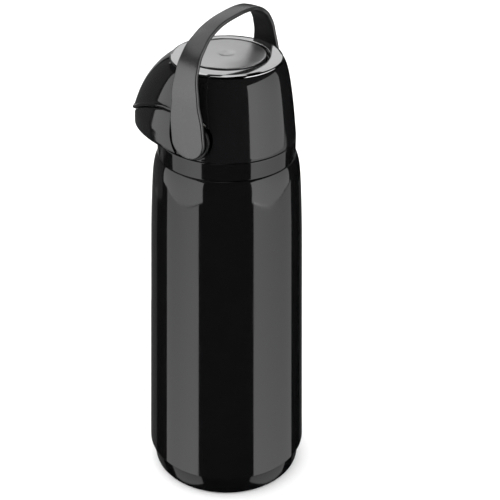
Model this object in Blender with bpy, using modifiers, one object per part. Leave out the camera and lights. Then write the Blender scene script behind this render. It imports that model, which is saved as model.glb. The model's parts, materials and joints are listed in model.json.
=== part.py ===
"""Thermal coffee airpot: a glass-lined vacuum flask with a pump head.

Frame: metres, +Z up, origin on the flask axis in the plane that the flask
stands on.  The spout nose points along -Y.  The carrying handle turns about
an axis along X.
"""
import bpy
import bmesh
import math
from mathutils import Vector

MM = 0.001

# ------------------------------------------------------------------ sizes (mm)
BODY_R_FOOT = 62.5        # outer radius of the casing at its lower edge
BODY_Z_FOOT = 18.4        # height of that edge
BODY_Z_TOP = 275.7        # top edge of the casing shoulder
WALL = 1.8                # wall of the casing
BASE_R = 58.6             # outer radius of the base cap
COLLAR_R = 50.4           # outer radius of the neck collar
COLLAR_Z0 = 276.0         # visible band of the collar, lower edge
COLLAR_Z1 = 289.4         # and its top edge
HEAD_Z0 = 289.8           # lower edge of the pump head
HEAD_TOP = 348.2          # top of the head shell, under the rim ring
HEAD_WALL = 2.0
NOSE_L = 76.6             # reach of the spout nose from the axis
DISC_R = 28.0             # press disc
DISC_Z = 351.4            # top edge of the press disc
PRESS = 20.0              # travel of the press disc
PIVOT_Y = 2.5             # the handle's pivot axis lies a little behind the middle
PIVOT_Z = 305.0           # height of the handle's pivot axis
HUB_R = 15.0              # pivot hub
STRAP_X = 54.5            # outer face of the handle strap
STRAP_T = 3.1             # thickness of the strap
STRAP_TOP = 382.6         # top of the handle
LINER_R = 51.0            # glass liner, outer wall
GLASS = 1.6
VACUUM = 3.2              # gap between the two glass walls
SPOUT_Z = 299.3           # level run of the spout tube

# ------------------------------------------------------------------ clean file
for ob in list(bpy.data.objects):
    bpy.data.objects.remove(ob, do_unlink=True)

parts = bpy.data.collections.new("thermal_coffee_airpot")
cutters = bpy.data.collections.new("cutters")
bpy.context.scene.collection.children.link(parts)
bpy.context.scene.collection.children.link(cutters)


def material(name, rgb, rough, metal=0.0, alpha=1.0, transmission=0.0):
    m = bpy.data.materials.new(name)
    m.use_nodes = True
    b = m.node_tree.nodes["Principled BSDF"]
    b.inputs["Base Color"].default_value = (rgb[0], rgb[1], rgb[2], 1.0)
    b.inputs["Roughness"].default_value = rough
    b.inputs["Metallic"].default_value = metal
    b.inputs["Transmission Weight"].default_value = transmission
    m.diffuse_color = (rgb[0], rgb[1], rgb[2], alpha)
    return m


BLACK_GLOSS = material("black_gloss_plastic", (0.010, 0.010, 0.011), 0.08)
BLACK_SATIN = material("black_satin_plastic", (0.014, 0.014, 0.015), 0.35)
STRAP_BLACK = material("satin_strap_plastic", (0.014, 0.014, 0.0145), 0.30)
SILVER = material("silver_disc", (0.60, 0.60, 0.60), 0.30, 1.0)
CHROME = material("polished_rim", (0.78, 0.78, 0.79), 0.08, 1.0)
GLASS_M = material("silvered_glass", (0.80, 0.82, 0.84), 0.05, 0.9)
RUBBER = material("black_rubber", (0.02, 0.02, 0.02), 0.75)
SILICONE = material("clear_silicone", (0.75, 0.75, 0.73), 0.45)
WHITE_PP = material("natural_plastic", (0.72, 0.72, 0.70), 0.40)
STEEL = material("spring_steel", (0.55, 0.55, 0.56), 0.25, 1.0)


# ------------------------------------------------------------------ helpers
def place(ob, mat, smooth=32.0):
    parts.objects.link(ob)
    ob.data.materials.clear()
    ob.data.materials.append(mat)
    if smooth:
        ob.data.shade_smooth()
        ob.data.set_sharp_from_angle(angle=math.radians(smooth))
    return ob


def area(profile):
    s = 0.0
    for i in range(len(profile)):
        x0, z0 = profile[i]
        x1, z1 = profile[(i + 1) % len(profile)]
        s += x0 * z1 - x1 * z0
    return s / 2


def turned(name, profile, mat, steps=48, closed=True, axis="Z", at=(0, 0, 0)):
    """A turned piece: a profile of (radius, height) in mm with a Screw
    modifier.  closed=False is a profile that starts and ends on the axis."""
    pts = list(profile)
    if area(pts) > 0:
        pts.reverse()
    me = bpy.data.meshes.new(name)
    vs = [(r * MM, 0.0, z * MM) for r, z in pts]
    n = len(vs)
    es = [(i, i + 1) for i in range(n - 1)]
    if closed:
        es.append((n - 1, 0))
    me.from_pydata(vs, es, [])
    ob = bpy.data.objects.new(name, me)
    parts.objects.link(ob)
    me.materials.append(mat)
    sc = ob.modifiers.new("Screw", "SCREW")
    sc.axis = "Z"
    sc.angle = 2 * math.pi
    sc.steps = steps
    sc.render_steps = steps
    sc.use_smooth_shade = True
    sc.use_merge_vertices = True
    sc.merge_threshold = 0.00001
    if axis == "X":
        ob.rotation_euler = (0, math.pi / 2, 0)
    elif axis == "-X":
        ob.rotation_euler = (0, -math.pi / 2, 0)
    ob.location = (at[0] * MM, at[1] * MM, at[2] * MM)
    return ob


def smooth_curve(keys, n):
    """Catmull-Rom curve through (x, y) keys, n steps to each span."""
    out = []
    k = [Vector(p) for p in keys]
    for i in range(len(k) - 1):
        p0 = k[max(i - 1, 0)]
        p1, p2 = k[i], k[i + 1]
        p3 = k[min(i + 2, len(k) - 1)]
        for j in range(n):
            t = j / n
            out.append(tuple(0.5 * ((2 * p1) + (p2 - p0) * t
                                    + (2 * p0 - 5 * p1 + 4 * p2 - p3) * t * t
                                    + (3 * p1 - p0 - 3 * p2 + p3) * t ** 3)))
    out.append(tuple(k[-1]))
    return out


def arc(cx, cz, r, a0, a1, n):
    return [(cx + r * math.cos(math.radians(a0 + (a1 - a0) * i / n)),
             cz + r * math.sin(math.radians(a0 + (a1 - a0) * i / n)))
            for i in range(n + 1)]


def skin(name, rings, mat, closed_lattice=True):
    """Skins equal rings of points (mm) into one closed body.  With
    closed_lattice the last ring joins the first, otherwise the end rings
    are capped."""
    bm = bmesh.new()
    loops = [[bm.verts.new((x * MM, y * MM, z * MM)) for x, y, z in ring]
             for ring in rings]
    n = len(loops[0])
    last = len(loops) if closed_lattice else len(loops) - 1
    for i in range(last):
        a, b = loops[i], loops[(i + 1) % len(loops)]
        for j in range(n):
            bm.faces.new((a[j], a[(j + 1) % n], b[(j + 1) % n], b[j]))
    if not closed_lattice:
        bm.faces.new(list(reversed(loops[0])))
        bm.faces.new(loops[-1])
    bmesh.ops.recalc_face_normals(bm, faces=bm.faces)
    me = bpy.data.meshes.new(name)
    bm.to_mesh(me)
    bm.free()
    ob = bpy.data.objects.new(name, me)
    return place(ob, mat)


def to_cutter(ob):
    for c in list(ob.users_collection):
        c.objects.unlink(ob)
    cutters.objects.link(ob)
    ob.hide_render = True
    ob.display_type = "WIRE"
    return ob


def cyl_cutter(name, r, length, at, axis="Z", n=32):
    bm = bmesh.new()
    bmesh.ops.create_cone(bm, cap_ends=True, segments=n, radius1=r * MM,
                          radius2=r * MM, depth=length * MM)
    me = bpy.data.meshes.new(name)
    bm.to_mesh(me)
    bm.free()
    ob = bpy.data.objects.new(name, me)
    cutters.objects.link(ob)
    ob.location = [v * MM for v in at]
    if axis == "X":
        ob.rotation_euler = (0, math.pi / 2, 0)
    elif axis == "Y":
        ob.rotation_euler = (math.pi / 2, 0, 0)
    ob.hide_render = True
    ob.display_type = "WIRE"
    return ob


def prism_cutter(name, outline, half_width):
    """Prism along X from a (y, z) outline in mm."""
    bm = bmesh.new()
    a = [bm.verts.new((-half_width * MM, y * MM, z * MM)) for y, z in outline]
    f = bm.faces.new(a)
    r = bmesh.ops.extrude_face_region(bm, geom=[f])
    vs = [v for v in r["geom"] if isinstance(v, bmesh.types.BMVert)]
    bmesh.ops.translate(bm, verts=vs, vec=(2 * half_width * MM, 0, 0))
    bmesh.ops.recalc_face_normals(bm, faces=bm.faces)
    me = bpy.data.meshes.new(name)
    bm.to_mesh(me)
    bm.free()
    ob = bpy.data.objects.new(name, me)
    cutters.objects.link(ob)
    ob.hide_render = True
    ob.display_type = "WIRE"
    return ob


def boolean(ob, cutter, op="DIFFERENCE"):
    m = ob.modifiers.new(op.title(), "BOOLEAN")
    m.operation = op
    m.solver = "EXACT"
    m.object = cutter
    return m


# ------------------------------------------------------------------ casing
def body_radius(z):
    """Outer radius of the casing: a slow taper with a turned-in shoulder."""
    r = BODY_R_FOOT - (z - BODY_Z_FOOT) * 0.0286
    if z > 200.0:
        t = (z - 200.0) / (BODY_Z_TOP - 200.0)
        r -= 1.9 * t ** 2.2 + 2.6 * t ** 14
    return r


zs = [BODY_Z_FOOT + 0.8] + [110, 200, 235, 256, 266, 271.5, 274, BODY_Z_TOP]
outer = [(body_radius(BODY_Z_FOOT) - 0.6, BODY_Z_FOOT)]
outer += [(body_radius(z), z) for z in zs]
inner = [(body_radius(z) - WALL, z) for z in (BODY_Z_TOP, 271.5, 262, 235, 200)]
inner += [(body_radius(BODY_Z_FOOT) - WALL, BODY_Z_FOOT)]
turned("outer_body", outer + inner, BLACK_GLOSS, 36)

# ------------------------------------------------------------------ base
cap = [(BASE_R - 0.2, 17.9), (BASE_R, 17.2), (BASE_R, 3.0), (BASE_R - 0.5, 1.6),
       (BASE_R - 1.2, 1.0), (57.0, 1.0), (57.0, 4.0), (0.0, 4.0)]
cap_in = [(0.0, 6.0), (55.4, 6.0), (56.6, 7.2), (56.6, 16.0), (58.4, 18.6),
          (58.4, 26.0), (60.2, 26.0), (60.2, 18.5)]
turned("base_cap", cap_in + cap, BLACK_SATIN, 32, closed=False)
turned("base_grip_pad", [(0, 3.7), (56.0, 3.7), (56.6, 3.1), (56.6, 0.8),
                         (55.8, 0.0), (0, 0.0)], RUBBER, 32, closed=False)
turned("liner_support_pad", [(8.0, 6.3), (36.0, 6.3), (38.0, 8.0), (38.0, 15.2),
                             (34.0, 13.6), (8.0, 13.6)], RUBBER, 24)

# ------------------------------------------------------------------ liner
LZ0 = 14.0                # underside of the outer glass wall
LZ1 = 266.0               # mouth
NECK_R = 31.5             # outer radius of the liner's neck


def liner_wall(inset, z0, r_mouth, z_top):
    """Half profile of one glass surface, bottom to mouth."""
    r = LINER_R - inset
    rb = 22.0 - inset * 0.5
    pts = arc(r - rb, z0 + rb, rb, -90, 0, 2)
    pts += [(r, 230.0), (r - 2.4, 241.0), ((r + r_mouth) / 2, 250.5 - inset * 0.4),
            (r_mouth + 1.6, 256.8 - inset * 0.5), (r_mouth, 260.5 - inset * 0.5)]
    pts.append((r_mouth, z_top))
    return pts


t_in = GLASS + VACUUM + GLASS
inside = liner_wall(t_in, LZ0 + t_in, NECK_R - 4.2, LZ1 - 0.5)
outside = liner_wall(0.0, LZ0, NECK_R, LZ1 - 2.0)
gap_out = liner_wall(GLASS, LZ0 + GLASS, NECK_R - 1.4, LZ1 - 2.0)
gap_in = liner_wall(GLASS + VACUUM, LZ0 + GLASS + VACUUM, NECK_R - 2.8, LZ1 - 1.7)
# the inner bottle, whose rim turns out over the outer bottle's neck
profile = [(0.0, LZ0 + t_in)] + inside
profile += [(NECK_R - 3.4, LZ1), (NECK_R - 0.8, LZ1), (NECK_R, LZ1 - 0.8), (NECK_R, LZ1 - 1.7)]
profile += list(reversed(gap_in)) + [(0.0, LZ0 + GLASS + VACUUM)]
turned("liner_inner_bottle", profile, GLASS_M, 24, closed=False)
# the outer bottle, with the hole in its floor where the air was drawn off
profile = [(2.0, LZ0 + GLASS)] + gap_out + list(reversed(outside)) + [(2.0, LZ0)]
turned("liner_outer_bottle", profile, GLASS_M, 24)
turned("liner_tip_seal", [(0, 13.7), (3.2, 13.7), (3.4, 12.6), (1.8, 9.4),
                          (0.9, 7.6), (0, 7.0)], GLASS_M, 12, closed=False)
turned("liner_shoulder_ring", [(NECK_R + 2.4, 258.4), (NECK_R + 2.4, 261.6),
                               (46.6, 261.6), (46.6, 253.6), (42.6, 253.6)],
       RUBBER, 28)
turned("neck_collar",
       [(COLLAR_R - 0.5, COLLAR_Z1), (COLLAR_R, COLLAR_Z1 - 0.5),
        (COLLAR_R, COLLAR_Z0 + 0.4), (COLLAR_R - 0.4, COLLAR_Z0),
        (48.3, COLLAR_Z0), (48.3, 262.0), (NECK_R + 0.5, 262.0),
        (NECK_R + 0.5, 265.2), (46.3, 265.2), (46.3, COLLAR_Z1)],
       BLACK_GLOSS, 32)
turned("mouth_gasket", [(27.6, 266.3), (27.6, 268.1), (37.0, 268.1),
                        (37.0, 265.5), (32.0, 265.5), (31.9, 266.3)], SILICONE, 24)

# ------------------------------------------------------------------ riser
riser = turned("riser_tube", [(3.6, 30.0), (5.0, 30.0), (5.0, 300.0), (3.6, 300.0)],
               WHITE_PP, 16)
turned("riser_foot", [(5.3, 36.0), (6.8, 36.0), (6.8, 31.0), (5.6, 25.0),
                      (2.6, 25.0), (3.0, 29.7), (5.3, 29.7)], WHITE_PP, 14)

# ------------------------------------------------------------------ head loft
def head_radius(z):
    """Radius of the conical head at height z."""
    t = (z - HEAD_Z0) / (HEAD_TOP - HEAD_Z0)
    t = min(max(t, 0.0), 1.0)
    return 50.4 - 5.2 * t - 3.0 * t ** 2.6 - 2.2 * t ** 14


def nose_reach(z):
    """Reach of the nose from the axis at height z; it grows out of the rim
    and falls in one long, nearly straight slope to the tip of the lip."""
    w = head_radius(z)
    t = (HEAD_TOP - z) / (HEAD_TOP - 301.0)
    t = min(max(t, 0.0), 1.0)
    return w + (NOSE_L - 0.8 - w) * (t + 0.1 * math.sin(math.pi * t))


def head_ring(z, inset=0.0, n=72, flat_r=None):
    """One level section: half a circle at the back and an egg at the nose."""
    w = head_radius(z) - inset
    reach = nose_reach(z) - inset
    if flat_r is not None:
        w = reach = flat_r
    q = 2.0 - 0.4 * min(1.0, max(0.0, (reach / w - 1.0) / 0.53))
    ring = []
    for i in range(n):
        a = 2 * math.pi * i / n
        s, c = math.sin(a), math.cos(a)
        if s >= 0:
            ring.append((w * c, w * s, z))
        else:
            u = -s
            v = math.sqrt(max(0.0, 1.0 - u ** q))
            ring.append((math.copysign(w * v, c) if abs(c) > 1e-9 else 0.0,
                         -reach * u, z))
    return ring


N_RING = 44
levels = [HEAD_Z0, 301, 309, 318, 327, 336, 343, 346.4, HEAD_TOP]
in_levels = [345.2, 336, 324, 312, 301, HEAD_Z0]
rings = [head_ring(z, 0.0, N_RING) for z in levels]
rings.append(head_ring(HEAD_TOP, 0.0, N_RING, flat_r=31.0))
rings.append(head_ring(345.8, 0.0, N_RING, flat_r=31.0))
rings += [head_ring(z, HEAD_WALL, N_RING) for z in in_levels]
head_shell = skin("head_shell", rings, BLACK_GLOSS)

# the lip: the edge of the upper cover in side view, from over the pivot
# hub down to the tip of the nose
LIP = [(0.0, 320.4), (-8.0, 320.4), (-15.0, 320.0), (-22.0, 319.4), (-28.0, 318.6),
       (-34.0, 317.1), (-40.0, 315.1), (-47.0, 312.4), (-55.0, 308.6),
       (-62.0, 304.4), (-68.0, 300.3), (-73.0, 296.9), (-79.0, 293.0), (-92.0, 284.0)]
lip = smooth_curve(LIP, 1)
hub_arc = arc(PIVOT_Y, PIVOT_Z, HUB_R + 0.4, -74, 86, 9)
region = [(hub_arc[0][0], 280.0)] + hub_arc + lip + [(-92.0, 280.0)]
boolean(head_shell, prism_cutter("cut_head_front", region, 70.0))

# lower shell of the nose
chin_rings = [head_ring(z, 0.5, N_RING) for z in (HEAD_Z0 + 0.1, 301, 309, 318, 324)]
chin = skin("nose_lower_shell", chin_rings, BLACK_GLOSS, closed_lattice=False)
hollow = skin("cut_chin_hollow", [head_ring(z, 2.5, N_RING) for z in
                                  (291.7, 301, 312, 330)],
              BLACK_GLOSS, closed_lattice=False)
to_cutter(hollow)
boolean(chin, hollow)
boolean(chin, cyl_cutter("cut_chin_base", 48.2, 60, (0, 0, 310), n=44))
CHIN_Y = 18.2             # the lower shell starts this far in front of the axis
front = arc(PIVOT_Y, PIVOT_Z, CHIN_Y + PIVOT_Y, 226, 180, 6)
front += [(-CHIN_Y, 310.0), (-CHIN_Y, 317.0), (-CHIN_Y - 1.2, 318.4)]
keep = [(front[0][0], 284.0)] + front
keep += [(y, z - 0.5) for y, z in lip if y < -(CHIN_Y + 2.5)] + [(-92.0, 280.0), (front[0][0], 280.0)]
boolean(chin, prism_cutter("keep_chin", keep, 70.0), "INTERSECT")
boolean(chin, cyl_cutter("cut_chin_nozzle", 7.4, 30, (0, -64.0, 290)))

# polished rim ring and the sleeve that guides the press disc
turned("rim_ring", [(30.6, 348.6), (30.6, 350.4), (31.1, 350.9), (34.0, 351.0),
                    (37.6, 350.6), (39.2, 350.0), (39.9, 349.2), (39.9, 348.6)],
       CHROME, 32)
turned("button_guide", [(28.5, 347.8), (30.3, 347.8), (30.3, 345.0), (37.0, 345.0),
                        (37.0, 342.8), (30.3, 342.8), (30.3, 340.4), (28.5, 340.4)],
       BLACK_SATIN, 28)

# ------------------------------------------------------------------ pump works
SCREW_R = 39.8
base = turned("pump_base", [(47.8, 294.1), (47.8, 291.6), (45.6, 291.6), (45.6, 270.4),
                            (43.4, 270.4), (43.4, 291.6), (8.4, 291.6), (8.4, 294.1)],
              BLACK_SATIN, 28)
closure = turned("closure_disc", [(5.8, 270.0), (5.8, 268.5), (45.2, 268.5), (45.2, 270.0)],
                 BLACK_SATIN, 24)
turned("closure_ring", [(37.4, 268.2), (37.4, 266.4), (42.0, 266.4), (42.0, 268.2)],
       SILICONE, 24)
turned("riser_seal", [(5.3, 291.8), (8.1, 291.8), (8.1, 293.8), (5.3, 293.8)],
       SILICONE, 16)
valve = turned("valve_body", [(5.3, 294.4), (11.0, 294.4), (11.0, 303.8), (3.0, 303.8),
                              (3.0, 301.6), (5.3, 301.6)], WHITE_PP, 20)
boolean(valve, cyl_cutter("cut_valve_way", 3.3, 10, (0, -5.0, SPOUT_Z), "Y", 14))
boolean(valve, cyl_cutter("cut_valve_socket", 4.9, 6, (0, -11.0, SPOUT_Z), "Y", 14))
turned("outlet_valve_flap", [(0, 302.9), (2.7, 302.9), (2.7, 302.0), (0, 302.0)],
       SILICONE, 16, closed=False)
chamber = turned("air_chamber", [(4.5, 306.2), (37.0, 306.2), (37.0, 296.6), (43.0, 296.6),
                                 (43.0, 294.5), (35.0, 294.5), (35.0, 304.2), (4.5, 304.2)],
                 BLACK_SATIN, 28)
boolean(chamber, cyl_cutter("cut_chamber_spout", 5.4, 20, (0, -36.0, SPOUT_Z), "Y", 14))
turned("inlet_valve_flap", [(0, 307.4), (7.0, 307.2), (7.0, 306.6), (3.6, 306.6),
                            (3.6, 303.9), (0, 303.9)], SILICONE, 14, closed=False)

air_hole = cyl_cutter("cut_base_air", 3.0, 12, (20.0, 20.0, 292.5), n=16)
boolean(base, air_hole)
air_hole_2 = cyl_cutter("cut_closure_air", 3.0, 8, (20.0, 20.0, 269.0), n=16)
boolean(closure, air_hole_2)

screw_mesh = None
for i in range(4):
    a = math.radians(45 + 90 * i)
    x, y = SCREW_R * math.cos(a), SCREW_R * math.sin(a)
    boolean(base, cyl_cutter("cut_base_screw_%d" % (i + 1), 1.9, 12, (x, y, 292), n=8))
    boolean(chamber, cyl_cutter("cut_flange_screw_%d" % (i + 1), 1.9, 4, (x, y, 295.5), n=8))
    if screw_mesh is None:
        s = turned("chamber_screw_1", [(0, 299.0), (2.2, 299.0), (3.0, 298.0), (3.0, 296.9),
                                       (1.5, 296.9), (1.5, 286.5), (0.5, 284.8), (0, 284.8)],
                   STEEL, 8, closed=False)
        screw_mesh = s
        s.location = (x * MM, y * MM, 0)
    else:
        s = bpy.data.objects.new("chamber_screw_%d" % (i + 1), screw_mesh.data)
        parts.objects.link(s)
        src = screw_mesh.modifiers["Screw"]
        sc = s.modifiers.new("Screw", "SCREW")
        sc.axis, sc.angle = "Z", src.angle
        sc.steps = sc.render_steps = src.steps
        sc.use_merge_vertices, sc.merge_threshold = True, src.merge_threshold
        sc.use_smooth_shade = True
        s.location = (x * MM, y * MM, 0)

# spout tube: from the valve body forward, then down into the nozzle
def tube(name, path, r_out, r_in, mat, sides=12):
    """A bent tube: rings round a path in the YZ plane, outer skin then bore."""
    def ring(i, r):
        p = Vector((0, path[i][0], path[i][1]))
        a = Vector((0, *path[max(i - 1, 0)]))
        b = Vector((0, *path[min(i + 1, len(path) - 1)]))
        d = (b - a).normalized()
        u = Vector((1, 0, 0))
        v = d.cross(u)
        return [tuple(p + r * (math.cos(k * 2 * math.pi / sides) * u
                               + math.sin(k * 2 * math.pi / sides) * v))
                for k in range(sides)]
    rings = [ring(i, r_out) for i in range(len(path))]
    rings += [ring(i, r_in) for i in reversed(range(len(path)))]
    return skin(name, rings, mat)


bend = arc(-58.0, SPOUT_Z - 6.0, 6.0, 90, 180, 5)
tube("spout_tube", [(-8.4, SPOUT_Z), (-30.0, SPOUT_Z)] + bend + [(-64.0, 291.2)],
     4.5, 3.2, WHITE_PP)
turned("spout_nozzle", [(4.9, 293.9), (6.0, 293.9), (6.9, 293.2), (6.9, 290.5), (6.3, 290.1),
                        (4.9, 290.1)], BLACK_SATIN, 18, at=(0, -64.0, 0))

# bellows, its clamp ring and the return spring
def bellows_profile(z0, z1, folds, r_out, r_in, wall):
    out, inn = [], []
    n = folds * 2
    for i in range(n + 1):
        z = z0 + (z1 - z0) * i / n
        r = r_out if i % 2 else r_in
        out.append((r, z))
        inn.append((r - wall, z))
    return out, inn


b_out, b_in = bellows_profile(308.2, 335.6, 3, 33.0, 28.0, 1.2)
prof = [(33.0, 306.6), (33.0, 307.8)] + b_out + [(33.6, 336.0), (33.6, 336.9)]
prof += [(24.0, 336.9), (24.0, 335.8)] + list(reversed(b_in)) + [(26.8, 306.6)]
turned("bellows", prof, SILICONE, 20)
turned("bellows_clamp_ring", [(33.4, 306.6), (33.4, 308.8), (36.6, 308.8), (36.6, 306.6)],
       BLACK_SATIN, 28)


def coil(name, r, wire, z0, z1, turns, per_turn, mat):
    cu = bpy.data.curves.new(name, "CURVE")
    cu.dimensions = "3D"
    cu.bevel_depth = wire * MM
    cu.bevel_resolution = 2
    cu.use_fill_caps = True
    n = turns * per_turn + 1
    sp = cu.splines.new("POLY")
    sp.points.add(n - 1)
    for i in range(n):
        a = 2 * math.pi * i / per_turn
        sp.points[i].co = (r * math.cos(a) * MM, r * math.sin(a) * MM,
                           (z0 + (z1 - z0) * i / (n - 1)) * MM, 1)
    ob = bpy.data.objects.new(name, cu)
    parts.objects.link(ob)
    cu.materials.append(mat)
    w = ob.modifiers.new("Weld", "WELD")
    w.merge_threshold = 0.00001
    return ob


coil("return_spring", 16.0, 0.8, 307.4, 335.6, 4, 10, STEEL)

# ------------------------------------------------------------------ button
button = bpy.data.objects.new("button_axis", None)
parts.objects.link(button)
button.location = (0, 0, DISC_Z * MM)

disc_top = [(0.0, DISC_Z - 0.4), (4.4, DISC_Z - 0.1), (6.6, DISC_Z + 0.5), (18.0, DISC_Z + 0.38),
            (27.2, DISC_Z), (DISC_R, DISC_Z - 0.9)]
disc = turned("press_disc", disc_top + [(DISC_R, 341.2), (26.3, 341.2), (26.3, 349.0),
                                        (0.0, 349.0)], SILVER, 32, closed=False)
plunger = turned("button_plunger", [(3.2, 337.2), (34.0, 337.2), (34.0, 340.0), (25.9, 340.0),
                                    (25.9, 348.6), (23.6, 348.6), (23.6, 340.0), (3.2, 340.0)],
                 BLACK_SATIN, 28)
vent = turned("vent_valve", [(0, 341.6), (5.2, 341.6), (5.2, 340.3), (2.9, 340.3),
                             (2.9, 336.0), (0, 336.0)], SILICONE, 14, closed=False)
for ob in (disc, plunger, vent):
    ob.parent = button
    ob.matrix_parent_inverse = button.matrix_world.inverted()
    ob.location = (0, 0, -DISC_Z * MM)

# ------------------------------------------------------------------ handle
handle_axis = bpy.data.objects.new("handle_axis", None)
parts.objects.link(handle_axis)
handle_axis.location = (0, PIVOT_Y * MM, PIVOT_Z * MM)

ARCH_Z = 330.9            # where the arch starts
ARCH_P = 2.69             # fullness of the arch
TONGUE_R = 13.2           # round lower end of the strap


def strap_half_width(s):
    """Half width of the strap against its distance from the pivot."""
    keys = [(0.0, 13.2), (12.0, 13.1), (30.0, 10.9), (52.0, 8.6), (66.0, 7.7),
            (80.0, 6.6), (95.0, 6.1), (150.0, 6.1)]
    for (a, wa), (b, wb) in zip(keys, keys[1:]):
        if s <= b:
            t = (s - a) / (b - a)
            t = t * t * (3 - 2 * t)
            return wa + (wb - wa) * t
    return keys[-1][1]


def strap_path(n_arch):
    """Outer face of the strap in the XZ plane, from the foot of the tongue
    at +X to the foot at -X, with the distance from the nearer pivot."""
    half = []
    for k in (0.985, 0.93, 0.83, 0.68, 0.48, 0.25, 0.0):
        half.append((STRAP_X, PIVOT_Z - TONGUE_R * k,
                     TONGUE_R * math.sqrt(1 - k * k)))
    for z in (309.0, 313.5, 319.0, 324.5):
        half.append((STRAP_X, z, strap_half_width(z - PIVOT_Z)))
    s = ARCH_Z - PIVOT_Z
    prev = (STRAP_X, ARCH_Z)
    for i in range(n_arch + 1):
        a = math.pi / 2 * i / n_arch
        x = STRAP_X * math.cos(a) ** (2 / ARCH_P) if i < n_arch else 0.0
        z = ARCH_Z + (STRAP_TOP - ARCH_Z) * math.sin(a) ** (2 / ARCH_P)
        s += math.hypot(x - prev[0], z - prev[1])
        prev = (x, z)
        half.append((x, z, strap_half_width(s)))
    full = half + [(-x, z, w) for x, z, w in reversed(half[:-1])]
    return full


def strap_rings():
    path = strap_path(10)
    rings = []
    for i, (x, z, w) in enumerate(path):
        xa, za, _ = path[max(i - 1, 0)]
        xb, zb, _ = path[min(i + 1, len(path) - 1)]
        d = Vector((xb - xa, 0, zb - za)).normalized()
        nrm = Vector((d.z, 0, -d.x))          # points outward from the arch
        h = max(0.0, (z - PIVOT_Z) / 79.0)
        lean = PIVOT_Y - 7.05 * h + 4.57 * h ** 2 + 3.37 * h ** 3
        p = Vector((x, lean, z))
        t = STRAP_T
        e = min(0.9, w * 0.4)
        crown = 0.35
        sec = [(-w + e, -0.0 - 0.25), (-w * 0.45, crown - 0.25), (w * 0.45, crown - 0.25),
               (w - e, -0.25), (w, -0.25 - e), (w, -t + e * 0.6), (w - e * 0.6, -t),
               (-w + e * 0.6, -t), (-w, -t + e * 0.6), (-w, -0.25 - e)]
        rings.append([tuple(p + Vector((0, yy, 0)) + nrm * hh) for yy, hh in sec])
    return rings


strap = skin("handle_strap", strap_rings(), STRAP_BLACK, closed_lattice=False)
for sx in (1, -1):
    boolean(strap, cyl_cutter("cut_strap_pin_%s" % ("right" if sx > 0 else "left"),
                              4.3, 3.0, (sx * (STRAP_X - STRAP_T), PIVOT_Y, PIVOT_Z), "X", 24))
strap.parent = handle_axis
strap.matrix_parent_inverse = handle_axis.matrix_world.inverted()
strap.location = (0, -PIVOT_Y * MM, -PIVOT_Z * MM)

for sx, side in ((1, "right"), (-1, "left")):
    ax = "X" if sx > 0 else "-X"
    x_in = STRAP_X - STRAP_T                  # inner face of the strap
    # hub, fixed in the head: a flat disc that the tongue lies on
    turned("pivot_hub_" + side,
           [(4.4, x_in - 0.4), (HUB_R - 0.6, x_in - 0.4), (HUB_R, x_in - 1.0),
            (HUB_R, 48.3), (8.0, 48.3), (8.0, 46.4), (4.4, 46.4)],
           BLACK_GLOSS, 24, axis=ax, at=(0, PIVOT_Y, PIVOT_Z))
    pin = turned("handle_pin_" + side,
                 [(0, 52.4), (3.9, 52.4), (3.9, 45.2), (6.6, 45.2), (6.6, 43.4), (0, 43.4)],
                 BLACK_SATIN, 16, closed=False, axis=ax, at=(0, 0, 0))
    pin.parent = handle_axis
    turned("pivot_washer_" + side, [(4.2, 46.1), (7.6, 46.1), (7.6, 45.5), (4.2, 45.5)],
           STEEL, 16, axis=ax, at=(0, PIVOT_Y, PIVOT_Z))
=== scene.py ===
"""Looks for the thermal coffee airpot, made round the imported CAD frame.

Row frame: metres, +Z up, the spout nose towards -Y, the handle's axis parallel to X.
Lengths below are in millimetres unless a line says otherwise.
"""

import json
import math

import bmesh
import bpy
import numpy as np
from mathutils import Matrix, Vector

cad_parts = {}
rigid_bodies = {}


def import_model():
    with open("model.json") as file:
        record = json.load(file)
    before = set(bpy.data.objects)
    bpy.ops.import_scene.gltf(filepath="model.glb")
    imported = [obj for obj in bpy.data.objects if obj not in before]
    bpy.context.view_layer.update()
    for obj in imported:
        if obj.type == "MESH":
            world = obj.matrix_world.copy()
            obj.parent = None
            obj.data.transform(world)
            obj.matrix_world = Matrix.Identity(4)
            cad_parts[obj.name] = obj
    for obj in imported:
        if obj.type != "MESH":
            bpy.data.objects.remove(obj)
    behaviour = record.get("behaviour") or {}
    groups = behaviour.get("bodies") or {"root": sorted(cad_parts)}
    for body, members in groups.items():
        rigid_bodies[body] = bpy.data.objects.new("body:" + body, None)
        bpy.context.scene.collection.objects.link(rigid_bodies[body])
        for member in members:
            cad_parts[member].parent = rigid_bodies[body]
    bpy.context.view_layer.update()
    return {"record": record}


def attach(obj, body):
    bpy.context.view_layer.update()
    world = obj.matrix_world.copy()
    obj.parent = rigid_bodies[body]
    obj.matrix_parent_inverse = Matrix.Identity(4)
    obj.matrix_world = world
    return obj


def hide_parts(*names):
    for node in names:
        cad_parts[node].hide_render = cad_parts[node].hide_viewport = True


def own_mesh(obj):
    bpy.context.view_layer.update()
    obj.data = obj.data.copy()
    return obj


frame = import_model()
MM = 0.001
scene = bpy.context.scene

# sizes of the CAD model that the fine surfaces repeat (mm)
BODY_R_FOOT, BODY_Z_FOOT, BODY_Z_TOP, WALL = 62.5, 18.4, 275.7, 1.8
BASE_R = 58.6
COLLAR_R, COLLAR_Z0, COLLAR_Z1 = 50.4, 276.0, 289.4
HEAD_Z0, HEAD_TOP, HEAD_WALL = 289.8, 348.2, 2.0
NOSE_L = 76.6
DISC_R, DISC_Z, PRESS = 28.0, 351.4, 20.0
PIVOT_Y, PIVOT_Z, HUB_R = 2.5, 305.0, 15.0
STRAP_X, STRAP_T, STRAP_TOP = 54.5, 3.1, 382.6
LINER_R, GLASS, VACUUM, SPOUT_Z, NECK_R = 51.0, 1.6, 3.2, 299.3, 31.5


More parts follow.
